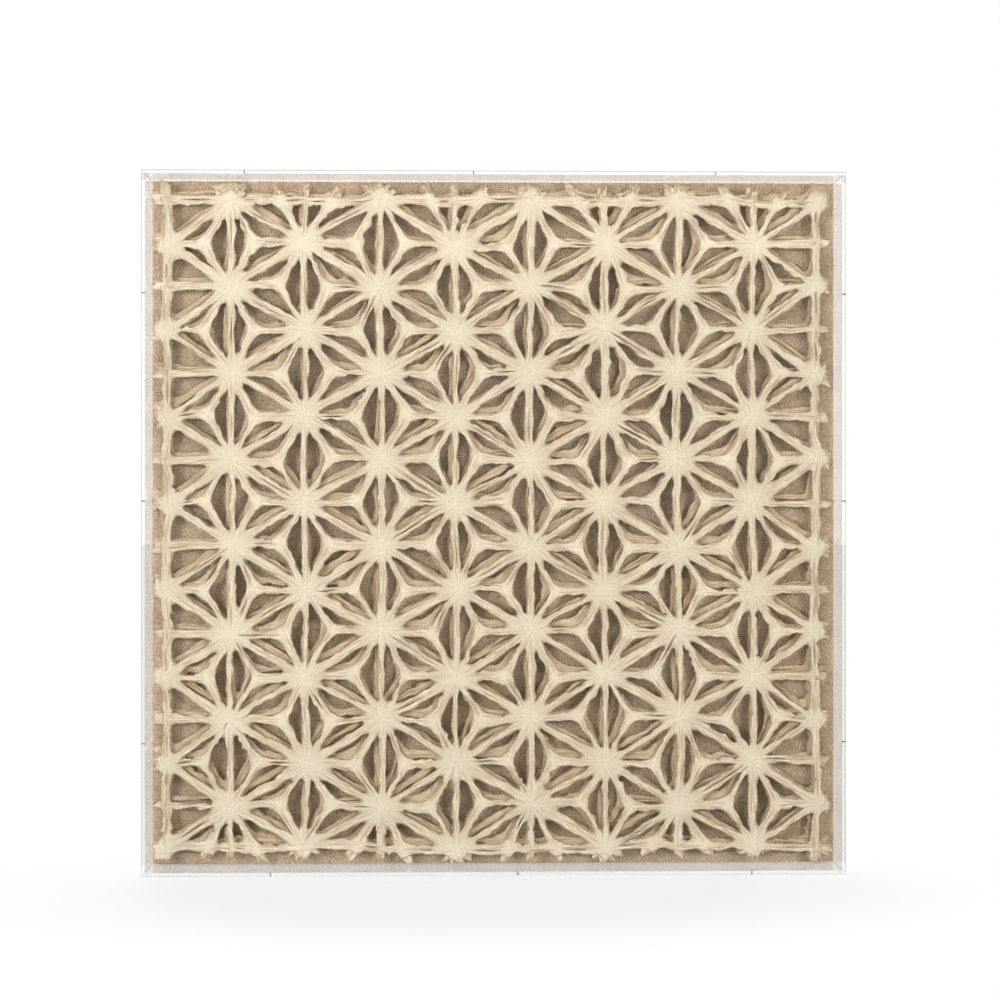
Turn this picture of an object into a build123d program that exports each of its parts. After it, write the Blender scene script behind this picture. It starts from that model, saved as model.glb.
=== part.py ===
from build123d import *
import os
from math import atan2, cos, radians, sin, tan

os.makedirs("parts", exist_ok=True)

# Clear cover: a pane with four walls bonded behind it
box_width = 800
box_height = 800
box_depth = 70
sheet_thickness = 4
edge_chamfer = 0.6

# Panel that fits into the back of the cover
cover_clearance = 0.5
cloth_thickness = 0.8
board_thickness = 4
rail_width = 40
rail_depth = 15

# Keyhole slots in the top rail, to hang the box on two screw heads
keyhole_spacing = 480
keyhole_entry_radius = 4.75
keyhole_neck_width = 4.8
keyhole_lip = 4
keyhole_depth = 10
keyhole_travel = 14

# Star lattice of flat strips: vertical repeats between the borders, slope of the long strips, and sizes
repeat_count = 7.5
slant_angle = 30
layer_count = 5
strip_thickness = 0.6
strip_overrun = 14
strip_side_clearance = 3.5
strip_top_clearance = 5
upright_width = 7
slant_width = 8
crossbar_width = 7
bow_width = 6.4
border_width = 7.5
bow_end_clearance = 0.5

# Places of the two sheets: the front one low and a little to the left, the rear one higher and further left
front_shift_left = 2
front_shift_down = 2
rear_shift_left = 4.5
rear_shift_up = 4

# Pads between the cloth, the rear sheet and the front sheet
pad_size = 14
rear_pad_thickness = 6
front_pad_thickness = 4

# Levels, measured forwards from the middle of the box's depth
back_level = -box_depth / 2
board_level = back_level + rail_depth
linen_level = board_level + board_thickness + cloth_thickness
pane_level = box_depth / 2 - sheet_thickness

# Room inside the walls, and the cloth-covered board and rails that fill it
inner_width = box_width - 2 * sheet_thickness
inner_height = box_height - 2 * sheet_thickness
panel_width = inner_width - 2 * cover_clearance
panel_height = inner_height - 2 * cover_clearance
board_width = panel_width - 2 * cloth_thickness
board_height = panel_height - 2 * cloth_thickness
wall_depth = box_depth - sheet_thickness
rail_middle = (wall_depth - rail_depth) / 2

# The box seen from the front: x to the right, y up, and the plane's normal towards the viewer
face_plane = Plane(origin=(0, 0, box_height / 2), x_dir=(1, 0, 0), z_dir=(0, -1, 0))


# Cover and back frame
with BuildPart() as front_pane:
    with BuildSketch(face_plane.offset(pane_level)):
        Rectangle(box_width, box_height)
    extrude(amount=sheet_thickness)
    chamfer(front_pane.faces().sort_by(Axis.Y)[0].edges(), length=edge_chamfer)
front_pane.part.label = "front_pane"
export_step(front_pane.part, "parts/front_pane.step")

# Outside of each wall: x runs along the wall, y to the back of the box, and the normal points outwards
wall_middle = sheet_thickness / 2
top_face = Plane(origin=(0, wall_middle, box_height), x_dir=(1, 0, 0), z_dir=(0, 0, 1))
bottom_face = Plane(origin=(0, wall_middle, 0), x_dir=(-1, 0, 0), z_dir=(0, 0, -1))
left_face = Plane(origin=(-box_width / 2, wall_middle, box_height / 2), x_dir=(0, 0, 1), z_dir=(-1, 0, 0))
right_face = Plane(origin=(box_width / 2, wall_middle, box_height / 2), x_dir=(0, 0, -1), z_dir=(1, 0, 0))


# Each side: the outside of its wall, and the lengths of its wall and rail
side_rail_length = panel_height - 2 * rail_width
sides = {
    "top": (top_face, box_width, panel_width),
    "bottom": (bottom_face, box_width, panel_width),
    "left": (left_face, inner_height, side_rail_length),
    "right": (right_face, inner_height, side_rail_length),
}

for side, (face, wall_length, rail_length) in sides.items():
    with BuildPart() as wall:
        with BuildSketch(face):
            Rectangle(wall_length, wall_depth)
        extrude(amount=-sheet_thickness)
    wall.part.label = f"{side}_wall"
    export_step(wall.part, f"parts/{side}_wall.step")

    with BuildPart() as rail:
        with BuildSketch(face.offset(-sheet_thickness - cover_clearance)):
            with Locations((0, rail_middle)):
                Rectangle(rail_length, rail_depth)
        extrude(amount=-rail_width)
        if side == "top":
            entry_height = (panel_height - rail_width - keyhole_travel) / 2
            entries = [(-keyhole_spacing / 2, entry_height), (keyhole_spacing / 2, entry_height)]
            slots = [(x, y + keyhole_travel / 2) for x, y in entries]
            with BuildSketch(face_plane.offset(back_level)):
                with Locations(*entries):
                    Circle(keyhole_entry_radius)
                with Locations(*slots):
                    SlotCenterToCenter(keyhole_travel, keyhole_neck_width, rotation=90)
            extrude(amount=keyhole_lip, mode=Mode.SUBTRACT)
            with BuildSketch(face_plane.offset(back_level + keyhole_lip)):
                with Locations(*slots):
                    SlotCenterToCenter(keyhole_travel, 2 * keyhole_entry_radius, rotation=90)
            extrude(amount=keyhole_depth - keyhole_lip, mode=Mode.SUBTRACT)
    rail.part.label = f"{side}_rail"
    export_step(rail.part, f"parts/{side}_rail.step")


# Cloth-covered board
with BuildPart() as backing_board:
    with BuildSketch(face_plane.offset(board_level)):
        Rectangle(board_width, board_height)
    extrude(amount=board_thickness)
backing_board.part.label = "backing_board"
export_step(backing_board.part, "parts/backing_board.step")

with BuildPart() as linen_cloth:
    with BuildSketch(face_plane.offset(board_level)):
        Rectangle(panel_width, panel_height)
    extrude(amount=board_thickness + cloth_thickness)
    with BuildSketch(face_plane.offset(board_level)):
        Rectangle(board_width, board_height)
    extrude(amount=board_thickness, mode=Mode.SUBTRACT)
linen_cloth.part.label = "linen_cloth"
export_step(linen_cloth.part, "parts/linen_cloth.step")


# Pattern of the lattice: star centres in columns, every second column half a repeat lower
lattice_width = inner_width - 2 * (strip_overrun + rear_shift_left + strip_side_clearance)
lattice_height = inner_height - 2 * (strip_overrun + rear_shift_up + strip_top_clearance)
reach_width = lattice_width + 2 * strip_overrun
reach_height = lattice_height + 2 * strip_overrun
repeat = lattice_height / repeat_count
column_pitch = repeat / 2 / tan(radians(slant_angle))
fork_offset = column_pitch / 3
fork_distance = column_pitch - fork_offset


def column_x(column):
    """Columns are counted from the box's middle, with none on it."""
    return (column + 1 / 2) * column_pitch


def row_y(row):
    """Rows are half a repeat apart, counted down from the top border."""
    return (lattice_height - row * repeat) / 2


# Columns whose star centres lie inside the side borders, with one more column past each border
half_columns = int((lattice_width / 2 - fork_offset) / column_pitch + 1 / 2)
columns = range(-half_columns, half_columns)
wide_columns = range(-half_columns - 1, half_columns + 1)
rows = range(int(2 * repeat_count) + 1)
inner_rows = rows[1:-1]
stars = [(column_x(c), row_y(r)) for c in wide_columns for r in inner_rows if (c + r) % 2 == 0]
left_stars = [(column_x(columns[0]), row_y(r)) for r in inner_rows if (columns[0] + r) % 2 == 0]
right_stars = [(column_x(columns[-1]), row_y(r)) for r in inner_rows if (columns[-1] + r) % 2 == 0]
bow_places = [(column_x(c), row_y(r)) for c in columns for r in rows if (c + r) % 2 == 1]
border_run = lattice_width / 2 + strip_overrun - column_x(columns[-1])

# Long slanted strips, by the height at which each crosses the box's middle
slant_rise = column_x(0) * tan(radians(slant_angle))
slant_limit = (lattice_height + lattice_width * tan(radians(slant_angle))) / 2
slant_rows = range(-rows[-1] - 1, 2 * rows[-1], 2)
rising_heights = [h for h in (row_y(r) - slant_rise for r in slant_rows) if abs(h) < slant_limit]
falling_heights = [h for h in (row_y(r) + slant_rise for r in slant_rows) if abs(h) < slant_limit]

# A bow runs from one star centre to the fork beside it and back to the next star centre
bow_angle = atan2(repeat / 2, fork_offset)
bow_start = bow_width / 2 * tan(bow_angle) + bow_end_clearance
bow_start_x = bow_start * cos(bow_angle)
bow_start_y = repeat / 2 - bow_start * sin(bow_angle)
bow_side_x = bow_width / 2 * sin(bow_angle)
bow_side_y = bow_width / 2 * cos(bow_angle)
bow_lap = bow_width / 2 / sin(bow_angle)
bow_outline = [
    (bow_start_x + bow_side_x, bow_start_y + bow_side_y),
    (fork_offset + bow_lap, 0),
    (bow_start_x + bow_side_x, -bow_start_y - bow_side_y),
    (bow_start_x - bow_side_x, -bow_start_y + bow_side_y),
    (fork_offset - bow_lap, 0),
    (bow_start_x - bow_side_x, bow_start_y - bow_side_y),
]

rear_sheet_level = linen_level + rear_pad_thickness
front_sheet_level = rear_sheet_level + layer_count * strip_thickness + front_pad_thickness


def sheet_plane(left, up):
    """The face plane of a sheet that is moved from the box's middle."""
    return Plane(origin=(-left, 0, box_height / 2 + up), x_dir=(1, 0, 0), z_dir=(0, -1, 0))


front_plane = sheet_plane(front_shift_left, -front_shift_down)
rear_plane = sheet_plane(rear_shift_left, rear_shift_up)
between_plane = sheet_plane((front_shift_left + rear_shift_left) / 2, (rear_shift_up - front_shift_down) / 2)

# The layers of a sheet, from back to front: uprights, bows, crossbars, rising strips, falling strips
for sheet, plane, level in (("rear", rear_plane, rear_sheet_level), ("front", front_plane, front_sheet_level)):
    layers = [plane.offset(level + layer * strip_thickness) for layer in range(layer_count)]

    with BuildPart() as uprights:
        with BuildSketch(layers[0]):
            with Locations(*[(column_x(c), 0) for c in columns]):
                Rectangle(upright_width, reach_height)
        extrude(amount=strip_thickness)
    uprights.part.label = f"{sheet}_uprights"
    export_step(uprights.part, f"parts/{sheet}_uprights.step")

    with BuildPart() as bows:
        with BuildSketch(layers[1]):
            with Locations(*bow_places):
                Polygon(*bow_outline, align=None)
                Polygon(*bow_outline, rotation=180, align=None)
            Rectangle(lattice_width, lattice_height + border_width, mode=Mode.INTERSECT)
        extrude(amount=strip_thickness)
    bows.part.label = f"{sheet}_bows"
    export_step(bows.part, f"parts/{sheet}_bows.step")

    with BuildPart() as crossbars:
        with BuildSketch(layers[2]):
            with Locations(*stars):
                Rectangle(2 * (fork_distance + bow_lap), crossbar_width)
            with Locations(*left_stars):
                Rectangle(border_run, crossbar_width, align=(Align.MAX, Align.CENTER))
            with Locations(*right_stars):
                Rectangle(border_run, crossbar_width, align=(Align.MIN, Align.CENTER))
            Rectangle(reach_width, reach_height, mode=Mode.INTERSECT)
        extrude(amount=strip_thickness)
    crossbars.part.label = f"{sheet}_crossbars"
    export_step(crossbars.part, f"parts/{sheet}_crossbars.step")

    with BuildPart() as border:
        with BuildSketch(layers[1]):
            with GridLocations(lattice_width, 0, 2, 1):
                Rectangle(border_width, reach_height)
        extrude(amount=strip_thickness)
        with BuildSketch(layers[2]):
            with GridLocations(0, lattice_height, 1, 2):
                Rectangle(reach_width, border_width)
        extrude(amount=strip_thickness)
    border.part.label = f"{sheet}_border"
    export_step(border.part, f"parts/{sheet}_border.step")

    with BuildPart() as rising:
        with BuildSketch(layers[3]):
            with Locations(*[(0, height) for height in rising_heights]):
                Rectangle(reach_width + reach_height, slant_width, rotation=slant_angle)
            Rectangle(reach_width, reach_height, mode=Mode.INTERSECT)
        extrude(amount=strip_thickness)
    rising.part.label = f"{sheet}_rising"
    export_step(rising.part, f"parts/{sheet}_rising.step")

    with BuildPart() as falling:
        with BuildSketch(layers[4]):
            with Locations(*[(0, height) for height in falling_heights]):
                Rectangle(reach_width + reach_height, slant_width, rotation=-slant_angle)
            Rectangle(reach_width, reach_height, mode=Mode.INTERSECT)
        extrude(amount=strip_thickness)
    falling.part.label = f"{sheet}_falling"
    export_step(falling.part, f"parts/{sheet}_falling.step")


# Pads behind some of the star centres, where the strips hide them
pad_stars = [(column_x(c), row_y(r)) for c in columns if c % 2 == 1 for r in rows[1::4]]
for sheet, plane, level, thickness in (
    ("rear", rear_plane, linen_level, rear_pad_thickness),
    ("front", between_plane, front_sheet_level - front_pad_thickness, front_pad_thickness),
):
    with BuildPart() as spacers:
        with BuildSketch(plane.offset(level)):
            with Locations(*pad_stars):
                Rectangle(pad_size, pad_size)
        extrude(amount=thickness)
    spacers.part.label = f"{sheet}_spacers"
    export_step(spacers.part, f"parts/{sheet}_spacers.step")
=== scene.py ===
import math
import random

import bmesh
import bpy
from mathutils import Euler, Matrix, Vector


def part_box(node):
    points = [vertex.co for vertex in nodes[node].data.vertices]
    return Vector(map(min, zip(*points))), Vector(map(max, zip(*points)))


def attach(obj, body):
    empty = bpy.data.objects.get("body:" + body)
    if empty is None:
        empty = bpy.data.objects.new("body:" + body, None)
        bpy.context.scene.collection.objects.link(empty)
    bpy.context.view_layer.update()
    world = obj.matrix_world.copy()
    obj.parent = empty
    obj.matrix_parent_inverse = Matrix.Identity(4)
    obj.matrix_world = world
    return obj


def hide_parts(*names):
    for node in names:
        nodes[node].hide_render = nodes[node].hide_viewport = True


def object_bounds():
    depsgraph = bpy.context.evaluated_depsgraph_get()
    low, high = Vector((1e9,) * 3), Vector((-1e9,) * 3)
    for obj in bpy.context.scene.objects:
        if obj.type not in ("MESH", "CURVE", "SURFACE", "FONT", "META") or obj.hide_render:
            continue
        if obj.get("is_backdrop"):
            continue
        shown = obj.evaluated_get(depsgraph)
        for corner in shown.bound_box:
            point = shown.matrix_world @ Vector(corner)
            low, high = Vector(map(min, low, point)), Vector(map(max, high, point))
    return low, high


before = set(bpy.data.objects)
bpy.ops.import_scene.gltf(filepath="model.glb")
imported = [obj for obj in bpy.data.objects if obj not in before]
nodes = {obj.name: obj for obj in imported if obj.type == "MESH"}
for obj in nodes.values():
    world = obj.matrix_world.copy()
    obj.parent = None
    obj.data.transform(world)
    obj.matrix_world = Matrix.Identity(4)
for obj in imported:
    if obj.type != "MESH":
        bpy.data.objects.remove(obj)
cad_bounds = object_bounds()
MM = 0.001

# Camera, fitted to the corners of the box in a frame of 1000 by 1000 pixels
CAMERA_PLACE = (-0.0385, -2.1412, 0.428)
CAMERA_YAW = -0.02098
CAMERA_PITCH = -0.00078
FOCAL_PIXELS = 1856
FRAME_PIXELS = 1000
SENSOR = 36
CLIP_START = 0.05

# Star pattern: repeats from border to border, and the slope of the long strips
REPEATS = 7.5
SLANT = math.radians(30)
OVERRUN = 14 * MM
INNER_COLUMNS = range(-4, 4)
LAST_ROW = int(2 * REPEATS)

# Half widths of the strips, and how many steps each takes along its length
HALF_WIDTHS = {
    "upright": 3.7 * MM,
    "slant": 4.2 * MM,
    "crossbar": 3.5 * MM,
    "bow": 3.2 * MM,
    "border": 4.5 * MM,
}
STEPS = {"upright": 20, "slant": 20, "crossbar": 14, "bow": 14, "border": 20}
WIDTH_SPREAD = 0.32
TAPER = 0.2
FLARE = {"star": 1.05, "fork": 1.45, "mid": 1.15, "tee": 1.2}

# How far crossings lie off their places, and how far strips sway sideways and arch towards the pane
JITTER = {"star": 3.0 * MM, "fork": 3.6 * MM, "mid": 1.5 * MM, "tee": 2.0 * MM}
LIFT_SHARES = (-0.5, 0.5)
SWAY = 1.5 * MM
ARCH = 0.55 * MM

# Long waves and fine rags of a torn edge, and a range that takes in every phase of a wave
EDGE_WAVER = 1.1 * MM
EDGE_RATES = (2.0, 4.5, 8.0)
EDGE_RAG = 0.42 * MM
ANY_PHASE = (0, 6.3)

# Half thickness of the strips and of the hubs, where the paper is beaten together
SHEET_HALF = 0.6 * MM
HUB_HALF = 1.05 * MM
HUB_REACH = {"star": 14 * MM, "fork": 7 * MM}

# Slits along some strips: their middles and reaches as shares of the length, and their half width
SLIT_CHANCE = {"upright": 0.15, "slant": 0.25, "crossbar": 0.2, "bow": 0.12, "border": 0.5}
SLIT_MIDDLE_SHARES = (0.35, 0.65)
SLIT_REACH_SHARES = (0.12, 0.3)
SLIT_HALF = 0.75 * MM
SLIT_SPREAD = (0.5, 1.3)

# Places along the streak texture at which the strips start
TEXTURE_STARTS = (0, 100)

# Points across a strip: share of the way to the first, share of the thickness at the edge's rounding,
# and in millimetres the rounding, the stain along the edge, which is partly painted shade, and the
# unevenness of the face
FIRST_SHARE = 0.55
EDGE_SHARE = 0.85
EDGE_ROUND = 0.35 * MM
EDGE_STAIN_AND_SHADE = 1.3 * MM
RELIEF = 0.12 * MM

# Rounding of the openings where strips meet at a star, a fork or a border, from the least to the most
ROUNDING = {
    "star": (9 * MM, 21 * MM),
    "fork": (9 * MM, 18 * MM),
    "mid": (3 * MM, 8 * MM),
    "tee": (3 * MM, 8 * MM),
}
ROUNDING_SHARE = 0.42
CORNER_SPREAD = (0.85, 1.15)

# Swelling of the outer edge at each kind of crossing, and the reach of the torn ends there
SWELLING = {"star": 10 * MM, "tee": 2 * MM, "mid": 2 * MM, "fork": 4 * MM}
SWELLING_REACH = {"star": 9 * MM, "tee": 5 * MM, "mid": 4.5 * MM, "fork": 6 * MM}
SWELLING_POWER = 4
SWELLING_SPREAD = 0.3
STUB_REACH = {
    "star": (11 * MM, 15 * MM),
    "tee": (12 * MM, 16 * MM),
    "mid": (11 * MM, 15 * MM),
    "fork": (11 * MM, 16 * MM),
}
STUB_TIP = {"star": (0.4, 0.9), "tee": (0.7, 1.0), "mid": (0.6, 1.0), "fork": (0.3, 0.6)}
STUB_LONGEST = 19 * MM
STUB_LEAST_SLOPE = 0.3
WALL_CLEARANCE = 1.5 * MM

# A torn end, a shred beside it and a loose hair: ranges of their turn, size, height, rise and slant
STUB = {
    "turn": (-0.12, 0.12),
    "width": (0.95, 1.25),
    "thickness": 1.2 * SHEET_HALF,
    "bend": 0.12,
    "height": (-0.1 * MM, 0.3 * MM),
    "rise": (-0.8 * MM, 0.4 * MM),
    "skew": (-1.2, 1.2),
}
SHRED = {
    "aside": 0.5,
    "turn": (0.0, 0.35),
    "length": (0.8, 1.1),
    "width": (0.3, 0.8),
    "bend": 0.25,
    "height": (-0.3 * MM, 0.5 * MM),
    "rise": (-0.9 * MM, 0.5 * MM),
    "skew": (-1, 1),
}
HAIR_COUNT = 24
HAIR = {
    "root": 2 * MM,
    "length": (14 * MM, 34 * MM),
    "width": (0.25 * MM, 0.6 * MM),
    "thickness": 0.3 * MM,
    "bend": 0.5,
    "rise": (-0.6 * MM, 0.4 * MM),
    "sections": 8,
}

# Section of a torn end: shares of its half width and half thickness, and how far its edges are darkened,
# partly real stain and partly painted shade
END_SECTION = (
    (1, 0, 0.6),
    (0.75, -1, 0.15),
    (-0.75, -1, 0.15),
    (-1, 0, 0.6),
    (-0.75, 1, 0.15),
    (0.75, 1, 0.15),
)
END_TIP = 0.15
END_STEPS = 5
END_THINNING = 0.6
END_TEXTURE = Vector((70, 130))


def mixed(a, b, share):
    return a + (b - a) * share


def spaced(step, count):
    """Steps from 0 to 1, closer together at both ends."""
    return (1 - math.cos(math.pi * step / count)) / 2


def left_of(direction):
    return Vector((-direction.y, direction.x))


def placed(name, data):
    """A new object in the scene."""
    thing = bpy.data.objects.new(name, data)
    bpy.context.collection.objects.link(thing)
    return thing


# The star pattern as crossing points and the openings between them

class StarPlan:
    """Crossing points in metres from the sheet's middle, and openings as triangles of crossing points."""

    def __init__(self, half_width, half_height, rng):
        self.half_width = half_width
        self.half_height = half_height
        self.repeat = 2 * half_height / REPEATS
        self.pitch = self.repeat / 2 / math.tan(SLANT)
        self.fork = self.pitch / 3
        self.rng = rng
        self.points = {}
        self.lifts = {}
        self.openings = []
        self.lay_out()

    def crossing(self, kind, column, row, side=0):
        """The key of a crossing point, which is placed a little off its true place."""
        key = (kind, column, row, side)
        if key not in self.points:
            x = (column + 1 / 2) * self.pitch + side * self.fork
            x = max(-self.half_width, min(self.half_width, x))
            y = self.half_height - row * self.repeat / 2
            shift = [self.rng.uniform(-JITTER[kind], JITTER[kind]) for _ in range(2)]
            self.points[key] = Vector((x + shift[0], y + shift[1]))
            self.lifts[key] = self.rng.uniform(*LIFT_SHARES) * ARCH
        return key

    def outward(self, key):
        """Which borders a crossing point lies on, as a direction away from the sheet."""
        _, column, row, _ = key
        x = {INNER_COLUMNS[0] - 1: -1, INNER_COLUMNS[-1] + 1: 1}.get(column, 0)
        y = {0: 1, LAST_ROW: -1}.get(row, 0)
        return Vector((x, y))

    def lay_out(self):
        """The openings beside each upright, and those between the side borders and their nearest stars."""
        star = lambda column, row: self.crossing("star", column, row)
        for column in INNER_COLUMNS:
            for row in range(LAST_ROW + 1):
                if (column + row) % 2 == 0:
                    continue
                ends = [star(column, r) for r in (row - 1, row + 1) if 0 <= r <= LAST_ROW]
                for side in (-1, 1):
                    fork = self.crossing("fork", column, row, side)
                    beside = star(column + side, row)
                    inner = ends[1] if len(ends) == 2 else self.crossing("mid", column, row)
                    self.openings.append((ends[0], inner, fork))
                    self.openings += [(end, beside, fork) for end in ends]
        first, last = INNER_COLUMNS[0], INNER_COLUMNS[-1]
        for column, border in ((first, first - 1), (last, last + 1)):
            for row in range(column % 2, LAST_ROW + 1, 2):
                tee = self.crossing("tee", border, row)
                beside = [star(border, r) for r in (row - 1, row + 1) if 0 <= r <= LAST_ROW]
                self.openings += [(star(column, row), hub, tee) for hub in beside]
        self.openings = [self.anticlockwise(opening) for opening in self.openings]

    def anticlockwise(self, opening):
        a, b, c = (self.points[key] for key in opening)
        return opening if (b - a).cross(c - a) > 0 else opening[::-1]


class Strip:
    """One strip between two crossing points, with a centre line that sways and arches."""

    def __init__(self, plan, ends, kind, rng):
        self.ends = ends
        self.start, self.end = (plan.points[key] for key in ends)
        self.lifts = [plan.lifts[key] for key in ends]
        self.reaches = [HUB_REACH.get(key[0]) for key in ends]
        self.length = (self.end - self.start).length
        self.along = (self.end - self.start).normalized()
        self.kind = kind
        self.steps = STEPS[kind]
        self.half_width = HALF_WIDTHS[kind] * rng.uniform(1 - WIDTH_SPREAD, 1 + WIDTH_SPREAD)
        self.taper = rng.uniform(-TAPER, TAPER)
        self.sways = [rng.uniform(-SWAY, SWAY), rng.uniform(-SWAY, SWAY) / 2]
        self.arch = rng.uniform(-ARCH, ARCH)
        self.offset = rng.uniform(*TEXTURE_STARTS)
        self.slit = None
        if rng.random() < SLIT_CHANCE[kind]:
            middle = rng.uniform(*SLIT_MIDDLE_SHARES)
            reach = rng.uniform(*SLIT_REACH_SHARES)
            self.slit = (middle - reach, middle + reach, SLIT_HALF * rng.uniform(*SLIT_SPREAD))

    def centre(self, t):
        sway = self.sways[0] * math.sin(math.pi * t) + self.sways[1] * math.sin(2 * math.pi * t)
        return mixed(self.start, self.end, t) + left_of(self.along) * sway

    def half_at(self, key):
        """Half of the strip's width at one of its ends, where it flares into the crossing."""
        return self.half_width * FLARE[key[0]] * (1 + (self.taper if key == self.ends[1] else -self.taper))

    def height(self, t):
        return mixed(*self.lifts, t) + self.arch * math.sin(math.pi * t)

    def hub(self, t):
        """How near a place on the strip is to the middle of a star or a fork, from 0 to 1."""
        places = [t * self.length, (1 - t) * self.length]
        near = [math.exp(-((d / reach) ** 2)) for d, reach in zip(places, self.reaches) if reach]
        return max(near, default=0)

    def gap(self, t):
        """Half width of the slit along the strip's middle, if it is split there."""
        if not self.slit or not self.slit[0] < t < self.slit[1]:
            return 0
        start, end, half = self.slit
        return half * math.sin(math.pi * (t - start) / (end - start))


class SheetMesh:
    """Gathers the points and faces of one paper sheet, seen from the front."""

    def __init__(self, centre, limits, rng):
        self.rng = rng
        self.centre = centre
        self.limits = limits
        self.points = []
        self.hubs = []
        self.edge_stains_and_shades = []
        self.faces = []
        self.uvs = []
        self.shared = {}

    def add(self, place, height, hub, edge_stain_and_shade):
        low, high = self.limits
        x = max(low.x, min(high.x, self.centre.x + place.x))
        z = max(low.z, min(high.z, self.centre.z + place.y))
        self.points.append((x, self.centre.y - height, z))
        self.hubs.append(hub)
        self.edge_stains_and_shades.append(edge_stain_and_shade)
        return len(self.points) - 1

    def middle(self, key, place, height, hub):
        """Front and back point on a strip's centre line, shared by the openings on both sides of it."""
        if key not in self.shared:
            half = mixed(SHEET_HALF, HUB_HALF, hub)
            self.shared[key] = (
                self.add(place, height + half, hub, 0),
                self.add(place, height - half, hub, 0),
            )
        return self.shared[key]

    def across(self, middle, place, edge, height, hub):
        """Points across half a strip, over its edge and back to the middle behind it."""
        half = mixed(SHEET_HALF, HUB_HALF, hub)
        width = (edge - place).length
        rings = []
        for s, h in rings_across(width):
            relief = self.rng.gauss(0, RELIEF) * math.sin(math.pi * s)
            # Darkness that grows over the last stretch of the edge: partly real stain, partly painted shade
            # of the thin shadow lines along each strip.
            edge_stain_and_shade = max(0, 1 - (1 - s) * width / EDGE_STAIN_AND_SHADE)
            face = height + half * h + relief
            rings.append(self.add(mixed(place, edge, s), face, hub * (1 - s / 2), edge_stain_and_shade))
        return [middle[0], *rings, middle[1]]

    def bridge(self, first, second, uv_first, uv_second):
        """Faces between two such rows of points."""
        for i in range(len(first) - 1):
            corners = [first[i], second[i], second[i + 1], first[i + 1]]
            uvs = [uv_first[i], uv_second[i], uv_second[i + 1], uv_first[i + 1]]
            keep = [j for j in range(4) if corners[j] not in corners[:j]]
            if len(keep) > 2:
                self.faces.append([corners[j] for j in keep])
                self.uvs += [uvs[j] for j in keep]

    def join(self, rows):
        """Faces along one side of an opening, and along the inner edge of a slit."""
        for (row, uv, split), (next_row, next_uv, next_split) in zip(rows, rows[1:]):
            self.bridge(row, next_row, uv, next_uv)
            if split or next_split:
                self.bridge([row[-1], row[0]], [next_row[-1], next_row[0]], uv[:2], next_uv[:2])

    def build(self, name):
        mesh = bpy.data.meshes.new(name)
        mesh.from_pydata(self.points, [], self.faces)
        layer = mesh.uv_layers.new(name="strip")
        layer.data.foreach_set("uv", [value for uv in self.uvs for value in uv])
        for label, values in (("hub", self.hubs), ("edge_stain_and_shade", self.edge_stains_and_shades)):
            mesh.attributes.new(label, "FLOAT", "POINT").data.foreach_set("value", values)
        mesh.polygons.foreach_set("use_smooth", [True] * len(mesh.polygons))
        mesh.update()
        return placed(name, mesh)


def rings_across(width):
    """Shares of the way from a strip's middle to its edge, with the height of its face there."""
    last_share = 1 - min(EDGE_ROUND / width, (1 - FIRST_SHARE) / 2)
    return (FIRST_SHARE, 1.0), (last_share, EDGE_SHARE), (1.0, 0.0)


def across_uv(u, width):
    """Texture places for one row across half a strip, in metres along and across it."""
    return [(u, 0), *[(u, s * width) for s, h in rings_across(abs(width))], (u, 0)]


def waver(rng):
    """A ragged edge, as a function from 0 to 1 that is nothing at both ends."""
    waves = [(rng.gauss(0, EDGE_WAVER), rate, rng.uniform(*ANY_PHASE)) for rate in EDGE_RATES]

    def edge(t):
        wave = sum(a / math.sqrt(f) * math.sin(2 * math.pi * f * t + p) for a, f, p in waves)
        return math.sqrt(math.sin(math.pi * t)) * (wave + rng.gauss(0, EDGE_RAG))

    return edge


def strip_kind(plan, a, b):
    """Which family of strips runs between two crossing points."""
    border = plan.outward(a)
    other = plan.outward(b)
    if border.x and border.x == other.x or border.y and border.y == other.y:
        return "border"
    if "mid" in (a[0], b[0]) or a[0] == b[0] and a[1] == b[1]:
        return "upright"
    if a[0] == b[0]:
        return "slant"
    return "crossbar" if a[2] == b[2] else "bow"


def inset_corner(corner, before, after, width_before, width_after):
    """Where the edges of two strips meet inside an opening."""
    a = left_of((corner - before).normalized())
    b = left_of((after - corner).normalized())
    det = a.cross(b)
    x = (width_before * b.y - width_after * a.y) / det
    y = (width_after * a.x - width_before * b.x) / det
    return corner + Vector((x, y))


def curve(a, b, c, t):
    """A place on the rounded corner from a to c that bends towards b."""
    return a * (1 - t) ** 2 + b * 2 * t * (1 - t) + c * t ** 2


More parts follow.
